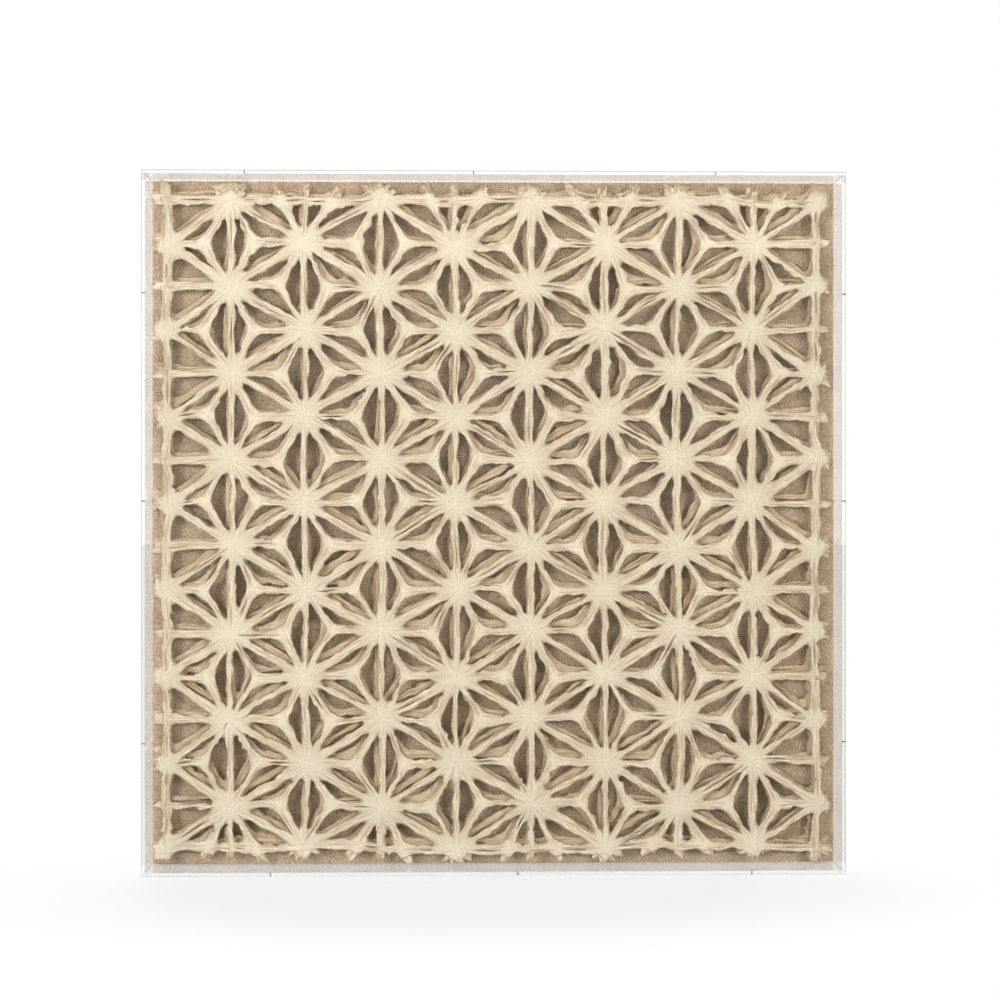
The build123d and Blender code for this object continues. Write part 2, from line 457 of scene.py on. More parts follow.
def fill_round_opening(mesh, plan, strips, opening, rng):
    """Paper from the centre lines of three strips to the rounded edge of the opening between them."""
    corners = [plan.points[key] for key in opening]
    sides = [strips[frozenset((opening[i], opening[(i + 1) % 3]))] for i in range(3)]
    inset = [
        inset_corner(
            corners[i],
            corners[i - 1],
            corners[(i + 1) % 3],
            sides[i - 1].half_at(key) * rng.uniform(*CORNER_SPREAD),
            sides[i].half_at(key) * rng.uniform(*CORNER_SPREAD),
        )
        for i, key in enumerate(opening)
    ]
    runs = [inset[(i + 1) % 3] - inset[i] for i in range(3)]
    rounds = [rng.uniform(*ROUNDING[key[0]]) for key in opening]

    def edge_point(i, t, edge):
        run, length = runs[i], runs[i].length
        ends = [min(rounds[j], ROUNDING_SHARE * length) for j in (i, (i + 1) % 3)]
        travelled = t * length
        if travelled < ends[0]:
            before = runs[i - 1]
            back = min(rounds[i], ROUNDING_SHARE * before.length)
            place = curve(
                inset[i] - before.normalized() * back,
                inset[i],
                inset[i] + run.normalized() * ends[0],
                (1 + travelled / ends[0]) / 2,
            )
        elif length - travelled < ends[1]:
            after = runs[(i + 1) % 3]
            ahead = min(rounds[(i + 1) % 3], ROUNDING_SHARE * after.length)
            corner = inset[(i + 1) % 3]
            place = curve(
                corner - run.normalized() * ends[1],
                corner,
                corner + after.normalized() * ahead,
                (1 - (length - travelled) / ends[1]) / 2,
            )
        else:
            place = inset[i] + run * t
        return place + left_of(run.normalized()) * edge(t)

    corner_rows = []
    for i, key in enumerate(opening):
        hub = 1 if key[0] in HUB_REACH else 0
        place = corners[i]
        middle = mesh.middle(key, place, plan.lifts[key], hub)
        edge = edge_point(i, 0, lambda t: 0)
        corner_rows.append((mesh.across(middle, place, edge, plan.lifts[key], hub), (edge - place).length))

    for i, side in enumerate(sides):
        edge = waver(rng)
        forwards = side.ends[0] == opening[i]
        inwards = left_of(runs[i].normalized())
        sway_side = 1 if forwards else -1
        rows = []
        for step in range(side.steps + 1):
            t = spaced(step, side.steps)
            own = t if forwards else 1 - t
            u = side.offset + own * side.length
            if step in (0, side.steps):
                row, width = corner_rows[(i + (step > 0)) % 3]
                split = False
            else:
                gap = side.gap(own)
                split = gap > 0
                place = side.centre(own) + inwards * gap
                hub = side.hub(own)
                key = (side.ends, step if forwards else side.steps - step, opening if split else None)
                middle = mesh.middle(key, place, side.height(own), hub)
                target = edge_point(i, t, edge) + (side.centre(own) - mixed(side.start, side.end, own))
                row = mesh.across(middle, place, target, side.height(own), hub)
                width = (target - place).length
            rows.append((row, across_uv(u, sway_side * width), split))
        mesh.join(rows)


def swelling(side, t):
    """How far the outer edge swells near the crossings at a border strip's ends."""
    places = [t * side.length, (1 - t) * side.length]
    swells = []
    for distance, (kind, *_) in zip(places, side.ends):
        fall = (distance / SWELLING_REACH[kind]) ** SWELLING_POWER
        swells.append(SWELLING[kind] * math.exp(-fall))
    return max(swells)


def fill_outer_edge(mesh, plan, side, opening, rng):
    """The outer half of a border strip."""
    backwards = list(opening).index(side.ends[0]) == (list(opening).index(side.ends[1]) + 1) % 3
    order = side.ends if backwards else side.ends[::-1]
    shared = Vector([a if a == b else 0 for a, b in zip(*[plan.outward(key) for key in order])])
    edge = waver(rng)
    rows = []
    for step in range(side.steps + 1):
        t = spaced(step, side.steps)
        own = t if backwards else 1 - t
        u = side.offset + own * side.length
        gap = side.gap(own)
        if step in (0, side.steps):
            key = order[step > 0]
            row_key = ("outer", key)
            outward = plan.outward(key)
            width = HALF_WIDTHS["border"] + SWELLING[key[0]]
        else:
            key = (side.ends, step if backwards else side.steps - step, "outer" if gap else None)
            row_key = None
            outward = shared
            ragged = rng.uniform(1 - SWELLING_SPREAD, 1 + SWELLING_SPREAD)
            width = HALF_WIDTHS["border"] + swelling(side, own) * ragged + edge(t)
        place = side.centre(own) + outward * gap
        hub = side.hub(own)
        if row_key in mesh.shared:
            row = mesh.shared[row_key]
        else:
            middle = mesh.middle(key, place, side.height(own), hub)
            row = mesh.across(middle, place, place + outward * width, side.height(own), hub)
            if row_key:
                mesh.shared[row_key] = row
        rows.append((row, across_uv(u, -width), gap > 0))
    mesh.join(rows)


def fibre(
    mesh, start, angle, length, width, thickness, bend, height, rise,
    tip=END_TIP, skew=0, sections=END_STEPS,
):
    """A loose end of fibre: a flat ribbon with eased edges, which narrows to a slanting tip."""
    place = start.copy()
    count = len(END_SECTION)
    offset = start.dot(END_TEXTURE)
    rows = []
    for i in range(sections + 1):
        t = i / sections
        heading = angle + bend * t
        along = Vector((math.cos(heading), math.sin(heading)))
        across = left_of(along)
        half = width / 2 * mixed(1, tip, t * t)
        slope = along * skew * half * t * t
        lift = height + rise * t * t
        deep = thickness / 2 * (1 - END_THINNING * t)
        reach = across * half + slope
        # The third value of each section darkens the ribbon's edges: partly real stain, partly painted
        # shade.
        rows.append([mesh.add(place + reach * w, lift + deep * h, 0, stain_and_shade) for w, h, stain_and_shade in END_SECTION])
        place = place + along * (length / sections)
    for i in range(sections):
        start_u, end_u = (offset + (i + s) * length / sections for s in (0, 1))
        for k in range(count):
            a, b = rows[i][k], rows[i][(k + 1) % count]
            c, d = rows[i + 1][(k + 1) % count], rows[i + 1][k]
            v, next_v = k * width / count, (k + 1) * width / count
            mesh.faces.append([a, d, c, b])
            mesh.uvs += [(start_u, v), (end_u, v), (end_u, next_v), (start_u, next_v)]
    for row in (rows[0], rows[-1][::-1]):
        mesh.faces.append(row)
        mesh.uvs += [(offset, 0)] * count


def add_stubs(mesh, plan, strips, rng):
    """Torn ends of the strips that run on past the borders, with loose fibres beside them."""
    for side in strips.values():
        for key, inner in (side.ends, side.ends[::-1]):
            outward = plan.outward(key)
            if not outward.length or side.kind == "border" and not (outward.x and outward.y):
                continue
            along = (plan.points[key] - plan.points[inner]).normalized()
            slope = max(along.dot(outward.normalized()), STUB_LEAST_SLOPE)
            length = min(rng.uniform(*STUB_REACH[key[0]]) / slope, STUB_LONGEST)
            angle = math.atan2(along.y, along.x)
            half = side.half_at(key)
            height = plan.lifts[key]
            fibre(
                mesh,
                plan.points[key],
                angle + rng.uniform(*STUB["turn"]),
                length,
                2 * half * rng.uniform(*STUB["width"]),
                STUB["thickness"],
                rng.gauss(0, STUB["bend"]),
                height + rng.uniform(*STUB["height"]),
                rng.uniform(*STUB["rise"]),
                rng.uniform(*STUB_TIP[key[0]]),
                rng.uniform(*STUB["skew"]),
            )
            turn = rng.choice((-1, 1))
            fibre(
                mesh,
                plan.points[key] + left_of(along) * turn * half * SHRED["aside"],
                angle + turn * rng.uniform(*SHRED["turn"]),
                length * rng.uniform(*SHRED["length"]),
                half * rng.uniform(*SHRED["width"]),
                SHEET_HALF,
                rng.gauss(0, SHRED["bend"]),
                height + rng.uniform(*SHRED["height"]),
                rng.uniform(*SHRED["rise"]),
                skew=rng.uniform(*SHRED["skew"]),
            )


def add_hairs(mesh, plan, rng):
    """Hair-like fibres that stand off the strips across the openings."""
    stars = [key for key in plan.points if key[0] != "tee" and not plan.outward(key).length]
    for _ in range(HAIR_COUNT):
        key = rng.choice(stars)
        angle = rng.uniform(0, 2 * math.pi)
        start = plan.points[key] + Vector((math.cos(angle), math.sin(angle))) * HAIR["root"]
        fibre(
            mesh,
            start,
            angle,
            rng.uniform(*HAIR["length"]),
            rng.uniform(*HAIR["width"]),
            HAIR["thickness"],
            rng.gauss(0, HAIR["bend"]),
            plan.lifts[key],
            rng.uniform(*HAIR["rise"]),
            sections=HAIR["sections"],
        )


def paper_sheet(sheet, seed):
    """A whole sheet of the lattice in place of the strips of one CAD sheet."""
    rng = random.Random(seed)
    low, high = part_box(f"{sheet}_border")
    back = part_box(f"{sheet}_uprights")[1].y
    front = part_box(f"{sheet}_falling")[0].y
    centre = Vector(((low.x + high.x) / 2, (front + back) / 2, (low.z + high.z) / 2))
    inner_low = Vector((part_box("left_wall")[1].x, 0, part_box("bottom_wall")[1].z))
    inner_high = Vector((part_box("right_wall")[0].x, 0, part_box("top_wall")[0].z))
    clear = Vector((WALL_CLEARANCE, 0, WALL_CLEARANCE))
    plan = StarPlan((high.x - low.x) / 2 - OVERRUN, (high.z - low.z) / 2 - OVERRUN, rng)
    mesh = SheetMesh(centre, (inner_low + clear, inner_high - clear), rng)
    strips = {}
    uses = {}
    for opening in plan.openings:
        for i in range(3):
            ends = (opening[i], opening[(i + 1) % 3])
            pair = frozenset(ends)
            if pair not in strips:
                strips[pair] = Strip(plan, ends, strip_kind(plan, *ends), rng)
            uses.setdefault(pair, []).append(opening)
    for opening in plan.openings:
        fill_round_opening(mesh, plan, strips, opening, rng)
    for pair, openings in uses.items():
        if len(openings) == 1:
            fill_outer_edge(mesh, plan, strips[pair], openings[0], rng)
    add_stubs(mesh, plan, strips, rng)
    add_hairs(mesh, plan, rng)
    return mesh.build(f"{sheet}_sheet")


# Materials

THREAD_PITCH = 1.15 * MM
THREAD_WANDER = 0.9 * MM
PAPER_RELIEF = 0.9 * MM
LINEN_RELIEF = 0.6 * MM
WOOD_RELIEF = 0.3 * MM
FOAM_RELIEF = 0.6 * MM
STEEL_RELIEF = 0.2 * MM


def new_material(name):
    """A material, its node tree, its main shader and a socket with the place on the piece."""
    material = bpy.data.materials.new(name)
    material.use_nodes = True
    tree = material.node_tree
    tree.nodes.clear()
    output = tree.nodes.new("ShaderNodeOutputMaterial")
    shader = tree.nodes.new("ShaderNodeBsdfPrincipled")
    tree.links.new(shader.outputs[0], output.inputs[0])
    return material, tree, shader, add_node(tree, "ShaderNodeTexCoord").outputs["Object"]


def add_node(tree, kind, inputs=None, **settings):
    """A node with its settings, and its inputs by name or number as values or as sockets to link."""
    node = tree.nodes.new(kind)
    for key, value in settings.items():
        setattr(node, key, value)
    for key, value in (inputs or {}).items():
        if isinstance(value, bpy.types.NodeSocket):
            tree.links.new(value, node.inputs[key])
        else:
            node.inputs[key].default_value = value
    return node


def math_node(tree, operation, *values, clamp=False):
    inputs = dict(enumerate(values))
    return add_node(tree, "ShaderNodeMath", inputs, operation=operation, use_clamp=clamp).outputs[0]


def vector_math(tree, operation, *values):
    return add_node(tree, "ShaderNodeVectorMath", dict(enumerate(values)), operation=operation)


def ranged(tree, value, low, high, to_low=0.0, to_high=1.0):
    inputs = {"Value": value, "From Min": low, "From Max": high, "To Min": to_low, "To Max": to_high}
    return add_node(tree, "ShaderNodeMapRange", inputs).outputs[0]


def noise_at(tree, place, scale, detail=3.0, stretch=(1, 1, 1), rough=0.55):
    """Noise by place in metres, stretched along an axis where its share there is small."""
    mapping = add_node(tree, "ShaderNodeMapping", {"Vector": place, "Scale": stretch})
    inputs = {"Vector": mapping.outputs[0], "Scale": scale, "Detail": detail, "Roughness": rough}
    return add_node(tree, "ShaderNodeTexNoise", inputs).outputs[0]


def mix_colour(tree, share, a, b):
    node = add_node(tree, "ShaderNodeMix", {0: share}, data_type="RGBA")
    for socket, value in ((node.inputs[6], a), (node.inputs[7], b)):
        if isinstance(value, bpy.types.NodeSocket):
            tree.links.new(value, socket)
        else:
            socket.default_value = (*value, 1)
    return node.outputs[2]


def mix_shaders(tree, share, a, b):
    """Links the tree's output to a mix of two shaders."""
    mix = add_node(tree, "ShaderNodeMixShader", {0: share, 1: a.outputs[0], 2: b.outputs[0]})
    tree.links.new(mix.outputs[0], tree.get_output_node("ALL").inputs[0])


def link_surface(tree, shader, colour, roughness):
    tree.links.new(colour, shader.inputs["Base Color"])
    tree.links.new(roughness, shader.inputs["Roughness"])


def bumped(tree, shader, height, distance, strength):
    bump = add_node(tree, "ShaderNodeBump", {"Strength": strength, "Distance": distance, "Height": height})
    tree.links.new(bump.outputs[0], shader.inputs["Normal"])


def paper_material(name, pale, deep, stain_and_shade):
    """Beaten bark fibre: streaks along each strip, dark brown edges that are partly real stain and partly
    painted shade, and smooth, paler star centres.
    """
    material, tree, shader, place = new_material(name)
    strip = add_node(tree, "ShaderNodeUVMap", uv_map="strip").outputs[0]
    hub = add_node(tree, "ShaderNodeAttribute", attribute_name="hub").outputs["Fac"]
    edge_stain_and_shade = add_node(tree, "ShaderNodeAttribute", attribute_name="edge_stain_and_shade").outputs["Fac"]
    streaks = noise_at(tree, strip, 1.0, 3.0, (38, 620, 1), 0.7)
    broad = noise_at(tree, strip, 1.0, 2.0, (20, 270, 1))
    cloud = noise_at(tree, place, 26, 3.0)
    mottle = noise_at(tree, place, 650, 3.0, rough=0.8)
    plain = math_node(tree, "SUBTRACT", 1.0, math_node(tree, "MULTIPLY", hub, 0.85))
    streak_share = math_node(tree, "MULTIPLY", ranged(tree, streaks, 0.44, 0.58), plain)
    broad_share = math_node(tree, "MULTIPLY", ranged(tree, broad, 0.53, 0.68, 0.0, 0.75), plain)
    cloud_share = ranged(tree, cloud, 0.38, 0.6, 0.4, 1.0)
    # Dark brown along each strip's edges: partly real stain, partly painted shade of the thin shadow lines
    # beside the strips.
    edge_stain_and_shade_share = math_node(tree, "MULTIPLY", cloud_share, ranged(tree, edge_stain_and_shade, 0.3, 0.95))
    colour = mix_colour(tree, ranged(tree, mottle, 0.4, 0.62, 0.0, 0.65), pale, deep)
    colour = mix_colour(tree, streak_share, colour, deep)
    colour = mix_colour(tree, broad_share, colour, stain_and_shade)
    colour = mix_colour(tree, edge_stain_and_shade_share, colour, stain_and_shade)
    link_surface(tree, shader, colour, ranged(tree, streaks, 0.3, 0.7, 0.75, 0.92))
    shader.inputs["Specular IOR Level"].default_value = 0.2
    shader.inputs["Sheen Weight"].default_value = 0.1
    ridges = math_node(tree, "MULTIPLY", streaks, plain)
    bumped(tree, shader, math_node(tree, "MULTIPLY_ADD", mottle, 0.5, ridges), PAPER_RELIEF, 0.8)
    return material


def linen_material(name, light, dark):
    """Plain weave with short uneven threads that read as a fine grain."""
    material, tree, shader, place = new_material(name)
    wander = noise_at(tree, place, 60, 2.0)
    parts = add_node(tree, "ShaderNodeSeparateXYZ", {0: place})
    rows = []
    for axis in ("X", "Z"):
        shifted = math_node(tree, "MULTIPLY_ADD", wander, THREAD_WANDER, parts.outputs[axis])
        phase = math_node(tree, "MULTIPLY", shifted, 2 * math.pi / THREAD_PITCH)
        rows.append(math_node(tree, "SINE", phase))
    weave = math_node(tree, "MULTIPLY", *rows)
    warp = noise_at(tree, place, 1.0, 2.0, (900, 100, 300))
    weft = noise_at(tree, place, 1.0, 2.0, (300, 100, 900))
    grain = noise_at(tree, place, 800, 3.0, rough=0.85)
    cloud = noise_at(tree, place, 35, 3.0)
    thread = math_node(tree, "MULTIPLY", math_node(tree, "ADD", warp, weft), 0.5)
    share = math_node(tree, "MULTIPLY_ADD", weave, 0.12, ranged(tree, thread, 0.38, 0.62, 0.0, 0.2))
    share = math_node(tree, "ADD", share, ranged(tree, grain, 0.38, 0.62, 0.0, 0.85))
    share = math_node(tree, "ADD", share, ranged(tree, cloud, 0.35, 0.65, -0.1, 0.1), clamp=True)
    colour = mix_colour(tree, share, dark, light)
    link_surface(tree, shader, colour, ranged(tree, thread, 0.3, 0.7, 0.95, 0.8))
    shader.inputs["Specular IOR Level"].default_value = 0.15
    shader.inputs["Sheen Weight"].default_value = 0.15
    height = math_node(tree, "MULTIPLY_ADD", weave, 0.3, math_node(tree, "ADD", thread, grain))
    bumped(tree, shader, height, LINEN_RELIEF, 0.6)
    return material


def acrylic_material(name):
    """Clear sheet with a faint haze of fine rubs, which lets the lamps through to what is inside."""
    material, tree, shader, place = new_material(name)
    rubs = noise_at(tree, place, 160, 4.0, (1, 1, 0.25))
    tint = mix_colour(tree, ranged(tree, rubs, 0.3, 0.7), (0.985, 0.985, 0.975), (0.995, 0.995, 0.99))
    link_surface(tree, shader, tint, ranged(tree, rubs, 0.45, 0.75, 0.0, 0.012))
    shader.inputs["IOR"].default_value = 1.49
    shader.inputs["Transmission Weight"].default_value = 1.0
    clear = add_node(tree, "ShaderNodeBsdfTransparent", {"Color": (0.96, 0.96, 0.95, 1)})
    path = add_node(tree, "ShaderNodeLightPath")
    mix_shaders(tree, path.outputs["Is Shadow Ray"], shader, clear)
    return material


def wood_material(name, light, dark, along):
    """Planed softwood with its grain along one axis."""
    material, tree, shader, place = new_material(name)
    stretch = [2.2 if axis == along else 60 for axis in range(3)]
    grain = noise_at(tree, place, 1.0, 4.0, stretch, 0.6)
    rings = math_node(tree, "SINE", math_node(tree, "MULTIPLY", grain, 42.0))
    pores = noise_at(tree, place, 1.0, 3.0, [25 if axis == along else 900 for axis in range(3)])
    ring_share = ranged(tree, rings, -1, 1, 0.0, 0.6)
    pore_share = ranged(tree, pores, 0.35, 0.7, 0.0, 0.35)
    share = math_node(tree, "ADD", ring_share, pore_share, clamp=True)
    colour = mix_colour(tree, share, light, dark)
    link_surface(tree, shader, colour, ranged(tree, pores, 0.3, 0.7, 0.5, 0.72))
    shader.inputs["Specular IOR Level"].default_value = 0.3
    ridges = math_node(tree, "MULTIPLY", rings, 0.1)
    bumped(tree, shader, math_node(tree, "ADD", pores, ridges), WOOD_RELIEF, 0.5)
    return material


def fibre_board_material(name, light, dark):
    material, tree, shader, place = new_material(name)
    specks = noise_at(tree, place, 420, 4.0)
    flecks = noise_at(tree, place, 1.0, 3.0, (160, 300, 900))
    speck_share = ranged(tree, specks, 0.35, 0.65, 0, 0.6)
    fleck_share = ranged(tree, flecks, 0.5, 0.7, 0, 0.4)
    share = math_node(tree, "ADD", speck_share, fleck_share, clamp=True)
    colour = mix_colour(tree, share, light, dark)
    link_surface(tree, shader, colour, ranged(tree, specks, 0.3, 0.7, 0.7, 0.88))
    shader.inputs["Specular IOR Level"].default_value = 0.2
    bumped(tree, shader, specks, WOOD_RELIEF, 0.4)
    return material


def foam_material(name, light, dark):
    material, tree, shader, place = new_material(name)
    cells = add_node(tree, "ShaderNodeTexVoronoi", {"Vector": place, "Scale": 900.0}).outputs["Distance"]
    colour = mix_colour(tree, ranged(tree, cells, 0.1, 0.7), light, dark)
    link_surface(tree, shader, colour, ranged(tree, cells, 0.1, 0.7, 0.75, 0.95))
    bumped(tree, shader, cells, FOAM_RELIEF, 0.7)
    return material


def steel_material(name):
    material, tree, shader, place = new_material(name)
    wear = noise_at(tree, place, 700, 4.0)
    colour = mix_colour(tree, ranged(tree, wear, 0.35, 0.7), (0.5, 0.48, 0.49), (0.72, 0.7, 0.71))
    link_surface(tree, shader, colour, ranged(tree, wear, 0.3, 0.7, 0.28, 0.5))
    shader.inputs["Metallic"].default_value = 1.0
    bumped(tree, shader, wear, STEEL_RELIEF, 0.3)
    return material


def set_material(piece, material):
    piece.data.materials.clear()
    piece.data.materials.append(material)


def piece_from(name, bm, material, smooth=True):
    mesh = bpy.data.meshes.new(name)
    bm.normal_update()
    bm.to_mesh(mesh)
    bm.free()
    mesh.polygons.foreach_set("use_smooth", [smooth] * len(mesh.polygons))
    piece = placed(name, mesh)
    set_material(piece, material)
    return piece


# Linen stretched over the board

LINEN_STEPS = 72
LINEN_TURN = 1.2 * MM
LINEN_TURN_STEPS = 4
LINEN_WAVE = 0.12 * MM
LINEN_WAVE_COUNT = 6
LINEN_WAVE_RATES = (8, 40)
LINEN_SEED = 5
LINEN_FLAT_POWER = 8


def linen_piece(material):
    """Cloth over the face of the board, turned round its edges."""
    low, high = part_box("linen_cloth")
    middle = (low + high) / 2
    half = (high - low) / 2
    rng = random.Random(LINEN_SEED)
    draws = (LINEN_WAVE_RATES, LINEN_WAVE_RATES, ANY_PHASE)
    waves = [[rng.uniform(*draw) for draw in draws] for _ in range(LINEN_WAVE_COUNT)]
    flat_steps = [-1 + 2 * i / LINEN_STEPS for i in range(LINEN_STEPS + 1)]
    bm = bmesh.new()
    grid = {}
    for i, a in enumerate(flat_steps):
        for j, b in enumerate(flat_steps):
            x = a * (half.x - LINEN_TURN)
            z = b * (half.z - LINEN_TURN)
            wave = sum(math.sin(p * x + q * z + s) for p, q, s in waves) / len(waves)
            fade = (1 - a ** LINEN_FLAT_POWER) * (1 - b ** LINEN_FLAT_POWER)
            y = low.y + LINEN_WAVE * (1 - wave) / 2 * fade
            grid[i, j] = bm.verts.new((middle.x + x, y, middle.z + z))
    for i in range(LINEN_STEPS):
        for j in range(LINEN_STEPS):
            bm.faces.new((grid[i, j], grid[i + 1, j], grid[i + 1, j + 1], grid[i, j + 1]))
    last = LINEN_STEPS
    border = [(i, 0) for i in range(last)] + [(last, j) for j in range(last)]
    border += [(i, last) for i in range(last, 0, -1)] + [(0, j) for j in range(last, 0, -1)]
    edge = [grid[key] for key in border]
    outs = [Vector(((i == last) - (i == 0), 0, (j == last) - (j == 0))).normalized() for i, j in border]
    angles = [k / LINEN_TURN_STEPS * math.pi / 2 for k in range(1, LINEN_TURN_STEPS + 1)]
    profile = [(math.sin(a) * LINEN_TURN, low.y + (1 - math.cos(a)) * LINEN_TURN) for a in angles]
    profile.append((LINEN_TURN, high.y))
    ring = edge
    for out_by, y in profile:
        new_ring = [
            bm.verts.new((start.co.x + out.x * out_by, y, start.co.z + out.z * out_by))
            for start, out in zip(edge, outs)
        ]
        count = len(ring)
        for k in range(count):
            bm.faces.new((ring[k], new_ring[k], new_ring[(k + 1) % count], ring[(k + 1) % count]))
        ring = new_ring
    return piece_from("linen", bm, material)


# Clear slabs of the cover

BOND_GAP = 0.03 * MM
SLAB_BEVEL = 0.2 * MM


def clear_slab(node, material):
    """A polished slab with eased edges, a hair smaller than its solid so that light crosses each bond."""
    low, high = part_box(node)
    size = high - low
    bm = bmesh.new()
    bmesh.ops.create_cube(bm, size=1)
    for vert in bm.verts:
        vert.co = (low + high) / 2 + Vector([c * (s - 2 * BOND_GAP) for c, s in zip(vert.co, size)])
    bmesh.ops.bevel(bm, geom=bm.edges, offset=SLAB_BEVEL, segments=2, profile=0.5, affect="EDGES")
    return piece_from(f"{node}_clear", bm, material, smooth=False)


# Foam pads between the layers

FOAM_ROUND = 0.7 * MM
WELD_DISTANCE = 0.001 * MM
FLAT_ANGLE = 0.01


def foam_pads(node, name, material):
    """Soft pads with rounded edges."""
    bm = bmesh.new()
    bm.from_mesh(nodes[node].data)
    bmesh.ops.remove_doubles(bm, verts=bm.verts, dist=WELD_DISTANCE)
    bmesh.ops.dissolve_limit(bm, angle_limit=FLAT_ANGLE, verts=bm.verts, edges=bm.edges)
    bmesh.ops.bevel(bm, geom=bm.edges, offset=FOAM_ROUND, segments=3, profile=0.5, affect="EDGES")
    return piece_from(name, bm, material)


# Screws through the walls into the board

SCREW_HEAD = 1.7 * MM
SCREW_SHANK = 0.85 * MM
SCREW_LENGTH = 14 * MM
SCREW_SUNK = 0.15 * MM
SCREW_SIDES = 20
HEAD_EASE = 0.15 * MM
HEAD_RIM = 0.12 * MM
SOCKET_FLOOR = 0.9 * MM
SOCKET_MOUTH = 1.05 * MM
SOCKET_DEPTH = 0.9 * MM
SOCKET_WALL = 0.7 * MM
NECK_GAP = 0.1 * MM
THREAD_START = 0.5 * MM
THREAD_RIDGE = 0.18 * MM
THREAD_TURNS = 9
TIP_LENGTH = 2.5 * MM

# Places of the screws along each wall, as shares of its length from the middle
TOP_SCREW_SHARES = (-0.36, -0.03, 0.32)
BOTTOM_SCREW_SHARES = (-0.3225, 0.034, 0.3725)
SIDE_SCREW_SHARES = (-0.317, 0.0315, 0.331)


def screw_mesh(bm, tip_direction, head_place):
    """A countersunk screw with a socket in its head and a ridged thread."""
    cone = SCREW_HEAD - SCREW_SHANK
    profile = [
        (0, SOCKET_DEPTH),
        (SOCKET_FLOOR, SOCKET_WALL),
        (SOCKET_MOUTH, 0.0),
        (SCREW_HEAD - HEAD_EASE, 0.0),
        (SCREW_HEAD, HEAD_RIM),
        (SCREW_SHANK, cone + NECK_GAP),
    ]
    start = cone + THREAD_START
    end = SCREW_LENGTH - TIP_LENGTH
    for k in range(2 * THREAD_TURNS + 1):
        radius = SCREW_SHANK + (THREAD_RIDGE if k % 2 else -THREAD_RIDGE)
        profile.append((radius, mixed(start, end, k / (2 * THREAD_TURNS))))
    profile.append((0, SCREW_LENGTH))
    rotation = tip_direction.to_track_quat("Z", "Y")
    rows = []
    for radius, depth in profile:
        if radius == 0:
            rows.append([bm.verts.new(head_place + rotation @ Vector((0, 0, depth)))] * SCREW_SIDES)
            continue
        row = []
        for k in range(SCREW_SIDES):
            angle = 2 * math.pi * k / SCREW_SIDES
            point = Vector((radius * math.cos(angle), radius * math.sin(angle), depth))
            row.append(bm.verts.new(head_place + rotation @ point))
        rows.append(row)
    for row, next_row in zip(rows, rows[1:]):
        for k in range(SCREW_SIDES):
            corners = [row[k], next_row[k], next_row[(k + 1) % SCREW_SIDES], row[(k + 1) % SCREW_SIDES]]
            bm.faces.new(list(dict.fromkeys(corners)))


def screws_piece(material):
    """Three screws through each wall, in line with the middle of the board's edge."""
    low = Vector((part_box("left_wall")[0].x, 0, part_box("bottom_wall")[0].z))
    high = Vector((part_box("right_wall")[1].x, 0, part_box("top_wall")[1].z))
    board_low, board_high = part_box("backing_board")
    y = (board_low.y + board_high.y) / 2
    size = high - low
    middle = (low + high) / 2
    bm = bmesh.new()
    upper = (TOP_SCREW_SHARES, high.z - SCREW_SUNK, -1)
    lower = (BOTTOM_SCREW_SHARES, low.z + SCREW_SUNK, 1)
    for shares, z, direction in (upper, lower):
        for share in shares:
            screw_mesh(bm, Vector((0, 0, direction)), Vector((middle.x + share * size.x, y, z)))
    for share in SIDE_SCREW_SHARES:
        for x, direction in ((low.x + SCREW_SUNK, 1), (high.x - SCREW_SUNK, -1)):
            screw_mesh(bm, Vector((direction, 0, 0)), Vector((x, y, middle.z + share * size.z)))
    bmesh.ops.recalc_face_normals(bm, faces=bm.faces)
    return piece_from("cover_screws", bm, material)


# The part

STRIP_NODES = ("uprights", "bows", "crossbars", "border", "rising", "falling")
FRONT_SEED = 11
REAR_SEED = 23

# Pale, deep and stained tones of the two papers, and pale and dark tones of the rest; the stained tones are
# partly painted shade along the strips' edges, and the rear paper is partly painted shade of the deeper
# sheet
CREAM = ((0.84, 0.8, 0.69), (0.56, 0.46, 0.33), (0.4, 0.27, 0.145))
SHADED_TAN = ((0.77, 0.665, 0.51), (0.48, 0.358, 0.228), (0.36, 0.228, 0.108))
LINEN = ((0.785, 0.64, 0.48), (0.19, 0.124, 0.072))
FOAM = ((0.78, 0.74, 0.66), (0.6, 0.56, 0.48))
PINE = ((0.74, 0.55, 0.34), (0.58, 0.39, 0.2))
FIBRE_BOARD = ((0.48, 0.36, 0.235), (0.33, 0.235, 0.145))
ALONG_X = 0
ALONG_Z = 2

papers = {
    "front": (FRONT_SEED, paper_material("cream_paper", *CREAM)),
    # The rear sheet's paper is a darker, tanner copy of the cream paper: partly its own tan tone, partly
    # painted shade for the sheet that lies deeper in the box.
    "rear": (REAR_SEED, paper_material("tan_paper", *SHADED_TAN)),
}
for sheet, (seed, material) in papers.items():
    piece = paper_sheet(sheet, seed)
    set_material(piece, material)
    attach(piece, "root")
    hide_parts(*[f"{sheet}_{node}" for node in STRIP_NODES])

linen = linen_piece(linen_material("linen", *LINEN))
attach(linen, "root")
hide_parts("linen_cloth")

foam = foam_material("foam", *FOAM)
for node in ("front_spacers", "rear_spacers"):
    pads = foam_pads(node, f"{node}_foam", foam)
    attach(pads, "root")
    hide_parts(node)

screws = screws_piece(steel_material("dark_steel"))
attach(screws, "root")

acrylic = acrylic_material("clear_acrylic")
for node in ("front_pane", "top_wall", "bottom_wall", "left_wall", "right_wall"):
    slab = clear_slab(node, acrylic)
    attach(slab, "root")
    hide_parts(node)

